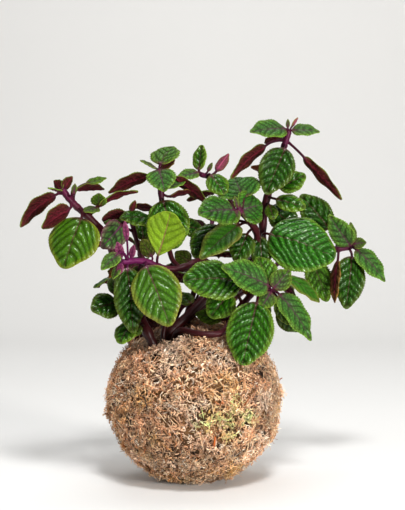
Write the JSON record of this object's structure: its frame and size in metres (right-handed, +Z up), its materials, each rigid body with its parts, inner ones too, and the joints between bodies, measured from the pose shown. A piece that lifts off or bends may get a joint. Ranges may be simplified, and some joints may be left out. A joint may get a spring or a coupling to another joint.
{
  "type": "kokedama moss ball plant",
  "caption": "Leafy potted-style plant with quilted purple-backed leaves, its root ball wrapped in dried moss, standing on a small flat foot.",
  "frame": {"origin": "middle of the moss ball's flat foot, on the surface that it stands on", "axes": "+Z up, the front of the plant looks along -Y, +X to the right as seen from the front"},
  "size_m": [0.2599, 0.1568, 0.2622],
  "materials": {
    "moss": "matte",
    "soil": "matte",
    "leaf": "satin",
    "stem": "satin"
  },
  "bodies": {
    "root": {"soil_core": "soil", "moss_wrap": "moss", "shoot_left": "leaf", "shoot_inner_left": "leaf", "shoot_magenta": "leaf", "shoot_upper_left": "leaf", "shoot_right": "leaf", "shoot_top": "leaf", "shoot_front": "leaf", "shoot_middle": "leaf", "shoot_low_right": "leaf", "shoot_back_left": "leaf", "shoot_back_middle": "leaf", "shoot_back_right": "leaf", "shoot_back_low": "leaf"}
  },
  "joints": []
}
